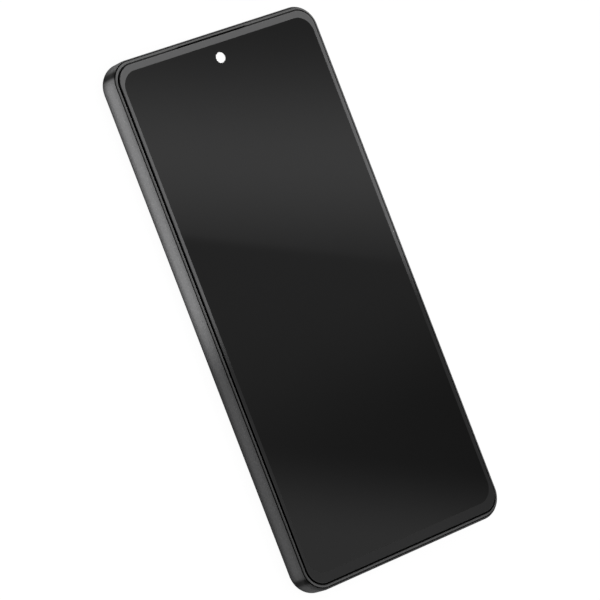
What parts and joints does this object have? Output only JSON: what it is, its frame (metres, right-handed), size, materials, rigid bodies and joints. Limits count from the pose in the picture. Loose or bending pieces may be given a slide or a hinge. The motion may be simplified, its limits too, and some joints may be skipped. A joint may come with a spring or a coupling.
{
  "type": "smartphone",
  "caption": "Slab smartphone with a flat glass screen, round front-camera opening, satin metal side band, sprung side keys, sliding card tray and raised rear camera island.",
  "frame": {"origin": "under the middle of the body, level with the outer face of the rear camera island, with the phone lying on its back", "axes": "+X to the phone's right, +Y to its top edge, +Z out of the screen"},
  "size_m": [0.0756, 0.1602, 0.0093],
  "materials": {
    "screen_glass": "black, polished, with a grey printed border",
    "lens_glass": "polished, dark",
    "white_window": "plain white",
    "satin_metal": "satin, grey",
    "rim_plastic": "satin, dark grey",
    "back_panel": "fine matte, dark grey",
    "display_laminate": "black",
    "black_plastic": "moulded, black",
    "black_foam": "soft, black",
    "pouch_foil": "wrapped in dark film",
    "circuit_board": "solder mask",
    "flex_film": "amber film",
    "shield_steel": "tinned",
    "cast_alloy": "as cast",
    "flash_lens": "translucent yellow"
  },
  "bodies": {
    "phone": {"cover_glass": "screen_glass", "front_camera_window": "white_window", "display_panel": "display_laminate", "display_backing": "black_foam", "display_adhesive": "black_foam", "display_flex": "flex_film", "front_rim": "rim_plastic", "side_band": "satin_metal", "mid_plate": "cast_alloy", "earpiece_grille": "black_plastic", "earpiece_speaker": "black_plastic", "front_camera": "black_plastic", "fingerprint_sensor": "black_plastic", "rear_cover": "back_panel", "rear_cover_adhesive": "black_foam", "camera_island": "satin_metal", "main_lens_window": "lens_glass", "ultrawide_lens_window": "lens_glass", "macro_lens_window": "lens_glass", "flash_window": "flash_lens", "main_camera_housing": "black_plastic", "ultrawide_camera": "black_plastic", "macro_camera": "black_plastic", "flash_led": "flash_lens", "side_key_board": "flex_film", "power_switch": "shield_steel", "volume_up_switch": "shield_steel", "volume_down_switch": "shield_steel", "sim_reader": "shield_steel", "main_board": "circuit_board", "processor_shield": "shield_steel", "radio_shield": "shield_steel", "top_microphone": "shield_steel", "battery": "pouch_foil", "main_flex": "flex_film", "antenna_cable": "black_plastic", "sub_board": "circuit_board", "usb_shell": "shield_steel", "usb_tongue": "black_plastic", "bottom_microphone": "shield_steel", "loudspeaker": "black_plastic", "loudspeaker_mesh": "black_foam", "vibration_motor": "shield_steel", "upper_bracket": "black_plastic", "lower_bracket": "black_plastic", "nfc_coil": "flex_film", "upper_screw_1": "shield_steel", "upper_screw_2": "shield_steel", "upper_screw_3": "shield_steel", "upper_screw_4": "shield_steel", "lower_screw_1": "shield_steel", "lower_screw_2": "shield_steel", "lower_screw_3": "shield_steel", "lower_screw_4": "shield_steel"},
    "power_button": {"power_button": "satin_metal"},
    "volume_rocker": {"volume_rocker": "satin_metal"},
    "sim_tray": {"sim_tray": "satin_metal"},
    "focus_lens": {"main_camera_lens": "black_plastic"}
  },
  "joints": [
    {"name": "power_press", "type": "slide", "parent": "phone", "child": "power_button", "axis": [-1, 0, 0], "range_m": [0, 0.00025], "stiffness_N_per_m": 6000},
    {"name": "volume_rock", "type": "hinge", "parent": "phone", "child": "volume_rocker", "pos_m": [0.03565, 0.038, 0.0047], "axis": [0, 0, 1], "range_deg": [-1.3, 1.3], "stiffness_Nm_per_rad": 0.5},
    {"name": "tray_slide", "type": "slide", "parent": "phone", "child": "sim_tray", "axis": [0, 1, 0], "range_m": [0, 0.0185]},
    {"name": "focus_travel", "type": "slide", "parent": "phone", "child": "focus_lens", "axis": [0, 0, -1], "range_m": [0, 0.0003], "stiffness_N_per_m": 200}
  ]
}
